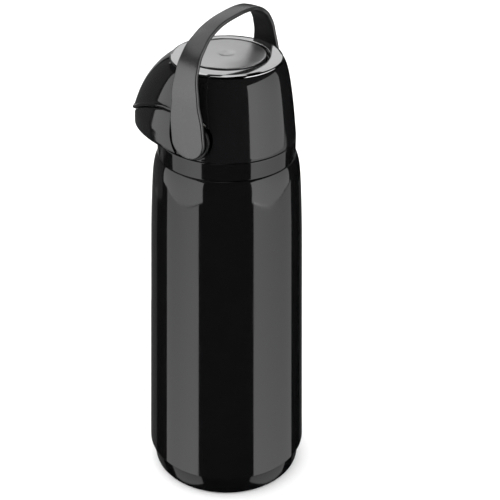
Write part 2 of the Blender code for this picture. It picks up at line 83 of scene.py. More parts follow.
# ------------------------------------------------------------------ camera
cam_data = bpy.data.cameras.new("photo_camera")
cam_data.lens = 93.6
cam_data.sensor_width = 36.0
cam_data.clip_start, cam_data.clip_end = 0.05, 50.0
camera = bpy.data.objects.new("photo_camera", cam_data)
scene.collection.objects.link(camera)
RIGHT = (-0.5270766, 0.8497671, 0.0092860)
UP = (-0.4232564, -0.2719730, 0.8642249)
FORWARD = (-0.7369154, -0.4515823, -0.5030199)
PLACE = (0.7213881, 0.4629976, 0.6908379)
camera.matrix_world = Matrix([(RIGHT[k], UP[k], -FORWARD[k], PLACE[k]) for k in range(3)] + [(0, 0, 0, 1)])
scene.camera = camera
scene.view_settings.view_transform = "Standard"


# ------------------------------------------------------------------ materials
class Nodes:
    """A small builder for a node material on one Principled shader."""

    def __init__(self, name, base, rough, metal=0.0, ior=1.5):
        self.mat = bpy.data.materials.new(name)
        self.mat.use_nodes = True
        self.nt = self.mat.node_tree
        self.p = self.nt.nodes["Principled BSDF"]
        self.set("Base Color", (*base, 1.0))
        self.set("Roughness", rough)
        self.set("Metallic", metal)
        self.set("IOR", ior)
        self.mat.diffuse_color = (*base, 1.0)
        self.co = self.add("ShaderNodeTexCoord").outputs["Object"]

    def set(self, socket, value):
        self.p.inputs[socket].default_value = value

    def add(self, kind, **props):
        n = self.nt.nodes.new(kind)
        for k, v in props.items():
            setattr(n, k, v)
        return n

    def link(self, a, b):
        self.nt.links.new(a, b)

    def mapping(self, scale):
        m = self.add("ShaderNodeMapping")
        m.inputs["Scale"].default_value = scale
        self.link(self.co, m.inputs["Vector"])
        return m.outputs["Vector"]

    def noise(self, scale, detail=2.0, rough=0.5, distortion=0.0, vector=None):
        n = self.add("ShaderNodeTexNoise")
        n.inputs["Scale"].default_value = scale
        n.inputs["Detail"].default_value = detail
        n.inputs["Roughness"].default_value = rough
        n.inputs["Distortion"].default_value = distortion
        self.link(vector if vector is not None else self.co, n.inputs["Vector"])
        return n.outputs["Fac"]

    def wave(self, scale, distortion=0.0, kind="RINGS", direction="Z", vector=None):
        n = self.add("ShaderNodeTexWave", wave_type=kind)
        if kind == "RINGS":
            n.rings_direction = direction
        else:
            n.bands_direction = direction
        n.inputs["Scale"].default_value = scale
        n.inputs["Distortion"].default_value = distortion
        n.inputs["Detail"].default_value = 1.0
        self.link(vector if vector is not None else self.co, n.inputs["Vector"])
        return n.outputs["Fac"]

    def remap(self, fac, lo, hi, a=0.3, b=0.7):
        m = self.add("ShaderNodeMapRange")
        m.inputs["From Min"].default_value = a
        m.inputs["From Max"].default_value = b
        m.inputs["To Min"].default_value = lo
        m.inputs["To Max"].default_value = hi
        self.link(fac, m.inputs["Value"])
        return m.outputs["Result"]

    def math(self, op, a, b):
        m = self.add("ShaderNodeMath", operation=op)
        for k, v in enumerate((a, b)):
            if isinstance(v, (int, float)):
                m.inputs[k].default_value = v
            else:
                self.link(v, m.inputs[k])
        return m.outputs[0]

    def roughness(self, fac):
        self.link(fac, self.p.inputs["Roughness"])

    def colour(self, fac, dark, light):
        mix = self.add("ShaderNodeMix", data_type="RGBA")
        self.link(fac, mix.inputs[0])
        mix.inputs[6].default_value = (*dark, 1.0)
        mix.inputs[7].default_value = (*light, 1.0)
        self.link(mix.outputs[2], self.p.inputs["Base Color"])

    def bump(self, height, strength, distance):
        b = self.add("ShaderNodeBump")
        b.inputs["Strength"].default_value = strength
        b.inputs["Distance"].default_value = distance
        self.link(height, b.inputs["Height"])
        self.link(b.outputs["Normal"], self.p.inputs["Normal"])


def gloss_black(name, base=0.0030, wave=1.0):
    """High-gloss moulded black: faint flow waves of the moulding, and a very
    fine haze of handling that changes the gloss from place to place."""
    m = Nodes(name, (base, base, base * 1.08), 0.07)
    haze = m.noise(38.0, 4.0, 0.62)
    fine = m.noise(900.0, 2.0, 0.5)
    m.roughness(m.math("ADD", m.remap(haze, 0.035, 0.085), m.remap(fine, 0.0, 0.018)))
    m.colour(m.noise(60.0, 3.0), (base * 0.85, base * 0.85, base * 0.92), (base * 1.15, base * 1.15, base * 1.24))
    flow = m.noise(1.0, 1.0, 0.4, vector=m.mapping((46.0, 46.0, 17.0)))
    peel = m.noise(420.0, 1.0, 0.4)
    m.bump(m.math("ADD", flow, m.math("MULTIPLY", peel, 0.018)), 0.10 * wave, 0.00035)
    return m.mat


def satin_black(name):
    """Satin black with a very fine spark-eroded grain."""
    m = Nodes(name, (0.0050, 0.0050, 0.0054), 0.20)
    m.set("Specular IOR Level", 0.22)
    grain = m.noise(2600.0, 2.0, 0.6)
    m.roughness(m.math("ADD", m.remap(m.noise(70.0, 3.0), 0.055, 0.085), m.remap(grain, 0.0, 0.03)))
    m.colour(m.noise(110.0, 3.0), (0.0018, 0.0018, 0.0020), (0.0030, 0.0030, 0.0032))
    m.bump(grain, 0.05, 0.00003)
    return m.mat


def satin_strap(name):
    """Satin black strap, which looks grey where a light lies in it, with the
    fine even grain of its mould."""
    m = Nodes(name, (0.012, 0.012, 0.0125), 0.30)
    m.set("IOR", 1.75)
    grain = m.noise(3000.0, 2.0, 0.55)
    cloud = m.noise(55.0, 4.0, 0.55)
    m.roughness(m.math("ADD", m.remap(cloud, 0.24, 0.29), m.remap(grain, 0.0, 0.05)))
    m.colour(m.math("ADD", m.math("MULTIPLY", cloud, 0.6), m.math("MULTIPLY", grain, 0.4)),
             (0.0100, 0.0100, 0.0104), (0.0145, 0.0145, 0.0150))
    m.bump(grain, 0.16, 0.00004)
    return m.mat


def satin_disc(name):
    """Satin silver with fine turned lines about the disc's own centre."""
    m = Nodes(name, (0.50, 0.50, 0.50), 0.30, metal=1.0)
    lines = m.wave(1750.0, 0.6)
    blast = m.noise(2400.0, 2.0, 0.6)
    m.roughness(m.math("ADD", m.remap(m.noise(90.0, 3.0), 0.27, 0.35), m.remap(blast, 0.0, 0.05)))
    m.colour(m.math("ADD", m.math("MULTIPLY", lines, 0.35), m.math("MULTIPLY", blast, 0.65)),
             (0.46, 0.46, 0.463), (0.535, 0.535, 0.535))
    m.bump(m.math("ADD", m.math("MULTIPLY", lines, 0.5), m.math("MULTIPLY", blast, 0.5)), 0.07, 0.00004)
    return m.mat


def polished_rim(name):
    """Bright polished metal with the last faint turning marks."""
    m = Nodes(name, (0.52, 0.52, 0.525), 0.08, metal=1.0)
    lines = m.wave(2600.0, 0.3)
    m.roughness(m.math("ADD", m.remap(m.noise(160.0, 3.0), 0.05, 0.11), m.math("MULTIPLY", lines, 0.015)))
    m.colour(m.noise(220.0, 2.0), (0.50, 0.50, 0.505), (0.54, 0.54, 0.545))
    m.bump(lines, 0.018, 0.00003)
    return m.mat


def silvered_glass(name):
    """Glass over the silver film of a vacuum liner."""
    m = Nodes(name, (0.84, 0.86, 0.88), 0.05, metal=0.95)
    m.set("Coat Weight", 1.0)
    m.set("Coat Roughness", 0.02)
    film = m.noise(26.0, 5.0, 0.6, 0.5)
    m.roughness(m.remap(film, 0.03, 0.10))
    m.colour(film, (0.78, 0.81, 0.84), (0.90, 0.91, 0.92))
    m.bump(m.noise(1.0, 1.0, vector=m.mapping((60.0, 60.0, 20.0))), 0.12, 0.0004)
    return m.mat


def rubber(name):
    m = Nodes(name, (0.020, 0.020, 0.020), 0.75)
    grain = m.noise(1500.0, 3.0, 0.65)
    m.roughness(m.remap(grain, 0.66, 0.86))
    m.colour(m.noise(240.0, 4.0), (0.015, 0.015, 0.015), (0.029, 0.029, 0.029))
    m.bump(grain, 0.35, 0.00010)
    return m.mat


def milky(name, base, rough, depth):
    """Milky silicone or natural polypropylene: light goes some way in."""
    m = Nodes(name, base, rough)
    m.set("Subsurface Weight", 0.55)
    m.set("Subsurface Radius", (1.0, 0.95, 0.88))
    m.set("Subsurface Scale", depth)
    cloud = m.noise(120.0, 3.0, 0.55)
    m.roughness(m.remap(cloud, rough - 0.07, rough + 0.07))
    m.colour(cloud, tuple(c * 0.94 for c in base), tuple(min(1.0, c * 1.05) for c in base))
    m.bump(m.noise(700.0, 2.0), 0.10, 0.00008)
    return m.mat


def drawn_steel(name):
    m = Nodes(name, (0.55, 0.55, 0.56), 0.26, metal=1.0)
    lines = m.noise(1.0, 3.0, 0.6, vector=m.mapping((5200.0, 5200.0, 500.0)))
    m.roughness(m.remap(lines, 0.18, 0.36))
    m.colour(m.noise(420.0, 3.0), (0.48, 0.48, 0.49), (0.62, 0.62, 0.63))
    m.bump(lines, 0.12, 0.00003)
    return m.mat


GLOSS = gloss_black("gloss_black_moulding")
GLOSS_SMALL = gloss_black("gloss_black_head", 0.0046, 0.6)
SATIN = satin_black("satin_black_moulding")
STRAP = satin_strap("satin_black_strap")
HUB = satin_black("satin_black_hub")
DISC = satin_disc("satin_silver_disc")
RIM = polished_rim("polished_rim_metal")
MIRROR = silvered_glass("silvered_liner_glass")
RUBBER = rubber("black_rubber_pad")
SILICONE = milky("milky_silicone", (0.72, 0.72, 0.70), 0.42, 0.0025)
NATURAL = milky("natural_polypropylene", (0.74, 0.74, 0.71), 0.36, 0.0035)
STEEL = drawn_steel("drawn_spring_steel")


# ------------------------------------------------------------------ mesh tools
def body_of(node):
    for body, members in frame["record"]["behaviour"]["bodies"].items():
        if node in members:
            return body
    raise KeyError(node)


def piece(name, verts, faces, mat, node=None, smooth_angle=None):
    """A mesh object from points in mm.  Its faces are turned outward, it
    rides on the CAD node's body and stands for that node."""
    v = np.array(verts, float).reshape(-1, 3) * MM
    volume = 0.0
    for f in faces:
        a = v[f[0]]
        for k in range(1, len(f) - 1):
            volume += np.dot(a, np.cross(v[f[k]], v[f[k + 1]]))
    if volume < 0:
        faces = [tuple(reversed(f)) for f in faces]
    me = bpy.data.meshes.new(name)
    me.from_pydata([tuple(p) for p in v], [], [tuple(f) for f in faces])
    me.validate()
    ob = bpy.data.objects.new(name, me)
    scene.collection.objects.link(ob)
    me.materials.append(mat)
    me.shade_smooth()
    if smooth_angle:
        me.set_sharp_from_angle(angle=math.radians(smooth_angle))
    if node:
        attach(ob, body_of(node))
        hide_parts(node)
    return ob


def fillet(profile, r=0.35, n=3, closed=True, support=0.3):
    """Rounds a profile's corners.  A point may hold its own radius as a third
    number.  Each round gets a point just past both of its ends, so that flat
    faces stay flat when they are shaded."""
    pts = [Vector(p[:2]) for p in profile]
    rad = [p[2] if len(p) > 2 else r for p in profile]
    m, out = len(pts), []
    for i, p in enumerate(pts):
        if not closed and i in (0, m - 1):
            out.append((p.x, p.y))
            continue
        u, v = pts[i - 1] - p, pts[(i + 1) % m] - p
        lu, lv = u.length, v.length
        if lu < 1e-6 or lv < 1e-6:
            continue
        u, v = u / lu, v / lv
        turn = math.pi - u.angle(v)
        if turn < math.radians(10) or rad[i] <= 0:
            out.append((p.x, p.y))
            continue
        t = min(rad[i] * math.tan(turn / 2), 0.45 * lu, 0.45 * lv)
        rr = t / math.tan(turn / 2)
        c = p + (u + v).normalized() * (rr / math.cos(turn / 2))
        s0, s1 = p + u * t - c, p + v * t - c
        a0 = math.atan2(s0.y, s0.x)
        d = (math.atan2(s1.y, s1.x) - a0 + math.pi) % (2 * math.pi) - math.pi
        if 0.48 * lu - t > support:
            q = p + u * (t + support)
            out.append((q.x, q.y))
        for k in range(n + 1):
            a = a0 + d * k / n
            out.append((c.x + rr * math.cos(a), c.y + rr * math.sin(a)))
        if 0.48 * lv - t > support:
            q = p + v * (t + support)
            out.append((q.x, q.y))
    return out


def turned_mesh(profile, steps, closed=True, axis="Z", at=(0, 0, 0)):
    """Vertices and faces of a turned solid from its (radius, height) profile."""
    verts, rings = [], []
    for r, z in profile:
        if r < 1e-6:
            rings.append([len(verts)])
            verts.append((0.0, 0.0, z))
        else:
            rings.append(list(range(len(verts), len(verts) + steps)))
            for k in range(steps):
                a = 2 * math.pi * k / steps
                verts.append((r * math.cos(a), r * math.sin(a), z))
    faces = []
    last = len(rings) if closed else len(rings) - 1
    for i in range(last):
        a, b = rings[i], rings[(i + 1) % len(rings)]
        if len(a) == 1 and len(b) == 1:
            continue
        for k in range(steps):
            k2 = (k + 1) % steps
            if len(a) == 1:
                faces.append((a[0], b[k2], b[k]))
            elif len(b) == 1:
                faces.append((a[k], a[k2], b[0]))
            else:
                faces.append((a[k], a[k2], b[k2], b[k]))
    if axis == "X":
        verts = [(z, y, -x) for x, y, z in verts]
    elif axis == "-X":
        verts = [(-z, y, x) for x, y, z in verts]
    verts = [(x + at[0], y + at[1], z + at[2]) for x, y, z in verts]
    return verts, faces


def turned(name, node, profile, mat, steps=96, closed=True, axis="Z", at=(0, 0, 0), r=0.35, n=3):
    verts, faces = turned_mesh(fillet(profile, r, n, closed), steps, closed, axis, at)
    return piece(name, verts, faces, mat, node)


def arc(cx, cz, r, a0, a1, n):
    return [(cx + r * math.cos(math.radians(a0 + (a1 - a0) * i / n)),
             cz + r * math.sin(math.radians(a0 + (a1 - a0) * i / n)), 0.0) for i in range(n + 1)]


def cutter(verts, faces):
    ob = piece("cutter_%d" % len(bpy.data.objects), verts, faces, SATIN)
    ob.hide_render = True
    return ob


def cylinder(r, z0, z1, axis="Z", at=(0, 0, 0), steps=64):
    return turned_mesh([(0, z0), (r, z0), (r, z1), (0, z1)], steps, False, axis, at)


def y_cylinder(r, y0, y1, z, steps=48):
    verts, faces = turned_mesh([(0, y0), (r, y0), (r, y1), (0, y1)], steps, False)
    return [(x, h, y + z) for x, y, h in verts], faces


def cut(ob, shapes, op="DIFFERENCE"):
    """Applies Booleans to a piece and removes the cutters."""
    for verts, faces in shapes:
        c = cutter(verts, faces)
        m = ob.modifiers.new("cut", "BOOLEAN")
        m.operation, m.solver, m.object = op, "EXACT", c
        dg = bpy.context.evaluated_depsgraph_get()
        me = bpy.data.meshes.new_from_object(ob.evaluated_get(dg))
        ob.modifiers.remove(m)
        old, ob.data = ob.data, me
        bpy.data.meshes.remove(old)
        mesh = c.data
        bpy.data.objects.remove(c)
        bpy.data.meshes.remove(mesh)
    keep = ob.data.materials[0]
    while len(ob.data.materials) > 1:
        ob.data.materials.pop(index=-1)
    ob.data.materials[0] = keep
    ob.data.polygons.foreach_set("material_index", [0] * len(ob.data.polygons))
    ob.data.shade_smooth()
    ob.data.set_sharp_from_angle(angle=math.radians(30))
    return ob


def catmull(keys, n):
    out = []
    k = [Vector(p) for p in keys]
    for i in range(len(k) - 1):
        p0, p1, p2, p3 = k[max(i - 1, 0)], k[i], k[i + 1], k[min(i + 2, len(k) - 1)]
        for j in range(n):
            t = j / n
            out.append(tuple(0.5 * ((2 * p1) + (p2 - p0) * t + (2 * p0 - 5 * p1 + 4 * p2 - p3) * t * t
                                    + (3 * p1 - p0 - 3 * p2 + p3) * t ** 3)))
    out.append(tuple(k[-1]))
    return out


def ease(x):
    x = min(1.0, max(0.0, x))
    return x * x * (3 - 2 * x)


# ------------------------------------------------------------------ casing, base, collar
def body_radius(z):
    r = BODY_R_FOOT - (z - BODY_Z_FOOT) * 0.0286
    if z > 200.0:
        t = (z - 200.0) / (BODY_Z_TOP - 200.0)
        r -= 1.9 * t ** 2.2 + 2.6 * t ** 14
    return r


def profile_of_casing():
    out = [(body_radius(BODY_Z_FOOT) - WALL, BODY_Z_FOOT, 0.25), (body_radius(BODY_Z_FOOT), BODY_Z_FOOT, 0.7)]
    zs = list(np.linspace(20.6, 200, 26)) + list(np.linspace(204, 262, 20)) + list(np.linspace(263.2, 275.0, 18))
    out += [(body_radius(z), z, 0.0) for z in zs]
    out += [(body_radius(BODY_Z_TOP), BODY_Z_TOP, 0.45), (body_radius(BODY_Z_TOP) - WALL, BODY_Z_TOP, 0.45)]
    out += [(body_radius(z) - WALL, z, 0.0) for z in np.linspace(272, 24, 40)]
    return out


turned("outer_casing", "outer_body", profile_of_casing(), GLOSS, 192, n=4)
turned("base_ring", "base_cap",
       [(0.0, 6.0), (55.4, 6.0), (56.6, 7.2), (56.6, 16.0), (58.4, 18.6), (58.4, 26.0), (60.2, 26.0), (60.2, 18.5),
        (BASE_R - 0.2, 17.9), (BASE_R, 17.2), (BASE_R, 3.0, 0.0), (BASE_R - 0.5, 1.6, 0.0), (BASE_R - 1.2, 1.0),
        (57.0, 1.0), (57.0, 4.0), (0.0, 4.0)], SATIN, 160, closed=False)
pad = turned("grip_pad", "base_grip_pad",
             [(0, 3.7), (56.6, 3.7, 0.6), (56.6, 0.0, 0.8), (52.0, 0.0), (51.6, 0.5), (49.4, 0.5), (49.0, 0.0),
              (44.0, 0.0), (43.6, 0.5), (41.4, 0.5), (41.0, 0.0), (12.0, 0.0), (11.0, 0.6), (0, 0.6)],
             RUBBER, 128, closed=False, r=0.2)
turned("collar", "neck_collar",
       [(COLLAR_R, COLLAR_Z1, 0.5), (COLLAR_R, COLLAR_Z0, 0.4), (48.3, COLLAR_Z0), (48.3, 262.0),
        (NECK_R + 0.5, 262.0), (NECK_R + 0.5, 265.2), (46.3, 265.2), (46.3, COLLAR_Z1)], GLOSS, 160, n=4)


# ------------------------------------------------------------------ liner and what carries it
def liner_wall(inset, z0, r_mouth, z_top):
    r = LINER_R - inset
    rb = 22.0 - inset * 0.5
    pts = arc(r - rb, z0 + rb, rb, -90, 0, 14)
    shoulder = catmull([(r, 224.0), (r, 231.0), (r - 2.4, 241.0), ((r + r_mouth) / 2, 250.5 - inset * 0.4),
                        (r_mouth + 1.6, 256.8 - inset * 0.5), (r_mouth, 261.5 - inset * 0.5), (r_mouth, z_top)], 6)
    return pts + [(a, b, 0.0) for a, b in shoulder]


t_in = GLASS + VACUUM + GLASS
inside = liner_wall(t_in, 14.0 + t_in, NECK_R - 4.2, 265.5)
outside = liner_wall(0.0, 14.0, NECK_R, 264.0)
gap_out = liner_wall(GLASS, 14.0 + GLASS, NECK_R - 1.4, 264.0)
gap_in = liner_wall(GLASS + VACUUM, 14.0 + GLASS + VACUUM, NECK_R - 2.8, 264.3)
turned("inner_bottle", "liner_inner_bottle",
       [(0.0, 14.0 + t_in)] + inside + [(NECK_R - 3.6, 266.0, 0.5), (NECK_R, 266.0, 0.9), (NECK_R, 264.3, 0.2)]
       + list(reversed(gap_in)) + [(0.0, 14.0 + GLASS + VACUUM)], MIRROR, 96, closed=False, r=0.6)
turned("outer_bottle", "liner_outer_bottle",
       [(2.0, 14.0 + GLASS)] + gap_out + list(reversed(outside)) + [(2.0, 14.0)], MIRROR, 96, r=0.3)
turned("liner_tip", "liner_tip_seal",
       [(0, 13.7), (3.2, 13.7), (3.4, 12.6), (1.8, 9.4), (0.9, 7.6), (0, 7.0)], MIRROR, 32, closed=False, r=0.8)
turned("liner_pad", "liner_support_pad",
       [(8.0, 6.3), (36.0, 6.3), (38.0, 8.0), (38.0, 15.2), (34.0, 13.6), (8.0, 13.6)], RUBBER, 72, r=0.6)
turned("shoulder_ring", "liner_shoulder_ring",
       [(NECK_R + 2.4, 258.4), (NECK_R + 2.4, 261.6), (46.6, 261.6), (46.6, 253.6), (42.6, 253.6)], RUBBER, 96, r=0.5)
turned("liner_gasket", "mouth_gasket",
       [(27.6, 266.3), (27.6, 268.1), (37.0, 268.1), (37.0, 265.5), (32.0, 265.5), (31.9, 266.3)], SILICONE, 96, r=0.3)

# ------------------------------------------------------------------ riser
turned("riser_pipe", "riser_tube", [(3.6, 30.0), (5.0, 30.0), (5.0, 300.0), (3.6, 300.0)], NATURAL, 48, r=0.3)
foot = turned("riser_strainer", "riser_foot",
              [(5.3, 36.0), (6.8, 36.0), (6.8, 31.0), (5.6, 25.0), (2.6, 25.0), (3.0, 29.7), (5.3, 29.7)],
              NATURAL, 48, r=0.3)


# ------------------------------------------------------------------ pump head
def head_radius(z):
    t = min(max((z - HEAD_Z0) / (HEAD_TOP - HEAD_Z0), 0.0), 1.0)
    return 50.4 - 5.2 * t - 3.0 * t ** 2.6 - 2.2 * t ** 14


def nose_reach(z):
    w = head_radius(z)
    t = min(max((HEAD_TOP - z) / (HEAD_TOP - 301.0), 0.0), 1.0)
    return w + (NOSE_L - 0.8 - w) * (t + 0.1 * math.sin(math.pi * t))


def head_point(a, z, inset=0.0):
    """A point of the level section at height z: half a circle at the back
    and an egg at the nose."""
    w, reach = head_radius(z) - inset, nose_reach(z) - inset
    s, c = math.sin(a), math.cos(a)
    if s >= 0:
        return Vector((w * c, w * s, z))
    q = 2.0 - 0.4 * min(1.0, max(0.0, (reach / w - 1.0) / 0.53))
    v = math.sqrt(max(0.0, 1.0 - (-s) ** q))
    return Vector((math.copysign(w * v, c), reach * s, z))


def head_normal(a, z, inset=0.0):
    da = head_point(a + 2e-3, z, inset) - head_point(a - 2e-3, z, inset)
    dz = head_point(a, z + 0.05, inset) - head_point(a, z - 0.05, inset)
    n = da.cross(dz).normalized()
    return n


LIP = [(0.0, 320.4), (-8.0, 320.4), (-15.0, 320.0), (-22.0, 319.4), (-28.0, 318.6), (-34.0, 317.1), (-40.0, 315.1),
       (-47.0, 312.4), (-55.0, 308.6), (-62.0, 304.4), (-68.0, 300.3), (-73.0, 296.9), (-79.0, 293.0),
       (-92.0, 284.0)]
_lip = catmull(LIP, 10)
_lip_y = np.array([-p[0] for p in _lip])
_lip_z = np.array([p[1] for p in _lip])


def lip_z(y):
    """Height of the upper cover's edge at this Y."""
    return float(np.interp(-y, _lip_y, _lip_z))


def edge_height(a, drop, inset=0.0):
    """Height where the column at angle a meets the lip line less drop."""
    lo, hi = 285.0, 325.0
    for _ in range(40):
        z = (lo + hi) / 2
        if z < lip_z(head_point(a, z, inset).y) - drop:
            lo = z
        else:
            hi = z
    return (lo + hi) / 2


def build_head():
    """The upper cover: cone and hood in one shell, with a rounded, slightly
    flared lip along the hood's edge."""
    N = 288
    angles = [2 * math.pi * i / N for i in range(N)]
    half = N // 2
    verts, faces = [], []

    def add(p):
        verts.append(tuple(p))
        return len(verts) - 1

    front = [i > half for i in range(N)]        # strictly in front of the pivots
    LIP_R, OUT = 1.45, 1.0
    spec = []
    for i, a in enumerate(angles):
        if front[i] or i in (0, half):
            y = head_point(a, 318.0).y
            fade = ease((-y - 9.0) / 16.0)
            zb = edge_height(a, 0.0) - 0.8 * ease(1 + y / 5.0)
            spec.append((zb, fade, 0.15 + (LIP_R - 0.15) * fade))
        else:
            spec.append((319.6, 0.0, 0.15))

    def flare(h, f):
        """How far the lip's bead stands out at height h above its middle."""
        k = 0.80
        if h < k * LIP_R:
            return OUT * f * math.sqrt(1 - (h / LIP_R) ** 2)
        edge = OUT * f * math.sqrt(1 - k * k)
        return edge * max(0.0, 1 - (h - k * LIP_R) / 2.2) ** 2.2

    def row_heights(zb, r):
        hs = [r, r + 0.2, r + 0.42, r + 0.64, r + 0.84, r + 1.0, r + 1.12, r + 1.24, r + 1.42, r + 1.65, r + 1.95,
              r + 2.35, r + 2.85, r + 3.5]
        z0 = zb + hs[-1]
        n = 30
        zs = [zb + h for h in hs]
        for k in range(1, n + 1):
            t = k / n
            zs.append(z0 + (HEAD_TOP - z0) * (1 - (1 - t) ** 1.35))
        return zs

    outer, inner, lips = [], [], []
    for i, a in enumerate(angles):
        zb, fade, r = spec[i]
        zs = row_heights(zb, r)
        col = []
        for z in zs:
            p = head_point(a, z)
            f = flare(z - zb - r, fade)
            if f > 1e-6:
                nrm = head_normal(a, z)
                if nrm.dot(Vector((p.x, p.y, 0))) < 0:
                    nrm = -nrm
                p = p + nrm * f
            col.append(add(p))
        outer.append(col)
        # the rounded underside of the lip, from the outer face to the inner
        nrm = head_normal(a, zb + r)
        if nrm.dot(Vector((math.cos(a), math.sin(a), 0))) < 0:
            nrm = -nrm
        base = head_point(a, zb + r)
        o = OUT * fade
        thick = HEAD_WALL + o
        ri = min(0.6, r)
        arcs = []
        for k in range(1, 6):
            t = math.radians(-90 * k / 5)
            arcs.append((o - r + r * math.cos(t), r + r * math.sin(t)))
        for k in range(0, 4):
            t = math.radians(-90 - 90 * k / 3)
            arcs.append((-HEAD_WALL + ri + ri * math.cos(t), ri + ri * math.sin(t)))
        if front[i] or i in (0, half):
            col = []
            for off, h in arcs:
                q = head_point(a, zb + h)
                col.append(add(q + nrm * off))
            lips.append(col)
        else:
            lips.append(None)
        zt = 345.2
        zi = zb + ri
        col = []
        n = 16
        for k in range(n + 1):
            z = zi + 0.3 + (zt - zi - 0.3) * k / n
            col.append(add(head_point(a, z, HEAD_WALL)))
        inner.append(col)

    def strip(a, b):
        for k in range(len(a) - 1):
            faces.append((a[k], a[k + 1], b[k + 1], b[k]))

    for i in range(N):
        j = (i + 1) % N
        strip(outer[i], outer[j])
        strip(inner[j], inner[i])
        if lips[i] is not None and lips[j] is not None and (front[i] or front[j]):
            li = [outer[i][0]] + lips[i] + [inner[i][0]]
            lj = [outer[j][0]] + lips[j] + [inner[j][0]]
            strip(lj, li)
    # top: flat land under the rim ring, with the round opening of the button
    land = []
    for i, a in enumerate(angles):
        c, s = math.cos(a), math.sin(a)
        pts = [(31.3 * c, 31.3 * s, HEAD_TOP), (31.0 * c, 31.0 * s, HEAD_TOP - 0.3), (31.0 * c, 31.0 * s, 346.0),
               (31.3 * c, 31.3 * s, 345.8)]
        land.append([outer[i][-1]] + [add(p) for p in pts] + [inner[i][-1]])
    for i in range(N):
        strip(land[i], land[(i + 1) % N])
    # back: the cone goes on down to the lower edge
    low = []
    for i in range(0, half + 1):
        a = angles[i]
        zb, fade, r = spec[i]
        z_start = zb + r
        col = [outer[i][0]]
        for k in range(1, 13):
            z = z_start + (HEAD_Z0 + 0.6 - z_start) * k / 12
            col.append(add(head_point(a, z)))
        for k in range(1, 5):
            t = math.radians(-90 * k / 4)
            col.append(add(head_point(a, HEAD_Z0 + 0.6 + 0.6 * math.sin(t), 0.6 - 0.6 * math.cos(t))))
        for k in range(0, 4):
            t = math.radians(-90 - 90 * k / 3)
            col.append(add(head_point(a, HEAD_Z0 + 0.4 + 0.4 * math.sin(t), HEAD_WALL - 0.4 - 0.4 * math.cos(t))))
        z_end = verts[inner[i][0]][2]
        for k in range(1, 8):
            z = HEAD_Z0 + 0.4 + (z_end - HEAD_Z0 - 0.4) * k / 8
            col.append(add(head_point(a, z, HEAD_WALL)))
        col.append(inner[i][0])
        low.append(col)
    for i in range(half):
        strip(low[i + 1], low[i])
    # the two cut ends of the back part, inside the hub holes
    for i, col in ((0, low[0]), (half, low[-1])):
        loop = col + list(reversed(lips[i]))
        faces.append(tuple(loop) if i == 0 else tuple(reversed(loop)))
    return verts, faces


def recalc(ob):
    bm = bmesh.new()
    bm.from_mesh(ob.data)
    bmesh.ops.recalc_face_normals(bm, faces=bm.faces)
    bm.to_mesh(ob.data)
    bm.free()


head_verts, head_faces = build_head()
hood = piece("head_cover", head_verts, head_faces, GLOSS_SMALL, "head_shell")
recalc(hood)
cut(hood, [cylinder(HUB_R + 0.4, 38.0, 60.0, "X", (0, PIVOT_Y, PIVOT_Z), 96),
           cylinder(HUB_R + 0.4, 38.0, 60.0, "-X", (0, PIVOT_Y, PIVOT_Z), 96)])


def build_chin():
    """Side wall of the nose's lower shell: rolled over at its top edge."""
    K, T, ROLL, INSET = 176, 2.0, 2.0, 0.5
    verts, faces = [], []

    CHIN_Y = 18.2

    def rear_y(z):
        if z < PIVOT_Z:
            return PIVOT_Y - math.sqrt((CHIN_Y + PIVOT_Y) ** 2 - (z - PIVOT_Z) ** 2)
        return -CHIN_Y

    def angle(k, z):
        """Column k's angle at height z, from the right rear edge round the
        tip to the left rear edge."""
        u = min(1.0, -rear_y(z) / (nose_reach(z) - INSET))
        a0 = math.asin(u)
        return 2 * math.pi - (a0 + (math.pi - 2 * a0) * k / K)

    def point(k, z, off):
        """off is measured inwards from the outer face."""
        a = angle(k, z)
        return head_point(a, z, INSET + off)

    cols = []
    for k in range(K + 1):
        lo, hi = 288.0, 322.0
        for _ in range(40):
            z = (lo + hi) / 2
            if z < lip_z(point(k, z, 0).y) - 0.5:
                lo = z
            else:
                hi = z
        top = (lo + hi) / 2
        z0 = HEAD_Z0 + 0.1
        height = top - z0
        roll = min(ROLL, height * 0.45)
        prof = []
        for j in range(0, 5):                     # lower outer edge
            t = math.radians(-90 + 90 * j / 4)
            prof.append((0.6 - 0.6 * math.cos(t), z0 + 0.6 + 0.6 * math.sin(t)))
        n = 14
        for j in range(1, n):
            prof.append((0.0, z0 + 0.6 + (top - roll - z0 - 0.6) * j / n))
        for j in range(0, 9):                     # rolled top edge
            t = math.radians(90 * j / 8)
            prof.append((roll - roll * math.cos(t), top - roll + roll * math.sin(t)))
        n = 9
        for j in range(1, n + 1):                 # inner face
            prof.append((T, top - 0.8 - (top - 0.8 - z0) * j / n))
        cols.append(prof)
    grid = []
    for k, prof in enumerate(cols):
        col = []
        for off, z in prof:
            verts.append(tuple(point(k, z, off)))
            col.append(len(verts) - 1)
        grid.append(col)
    for k in range(K):
        a, b = grid[k], grid[k + 1]
        for j in range(len(a)):
            j2 = (j + 1) % len(a)
            faces.append((a[j], a[j2], b[j2], b[j]))
    faces.append(tuple(grid[0]))
    faces.append(tuple(reversed(grid[-1])))
    return verts, faces


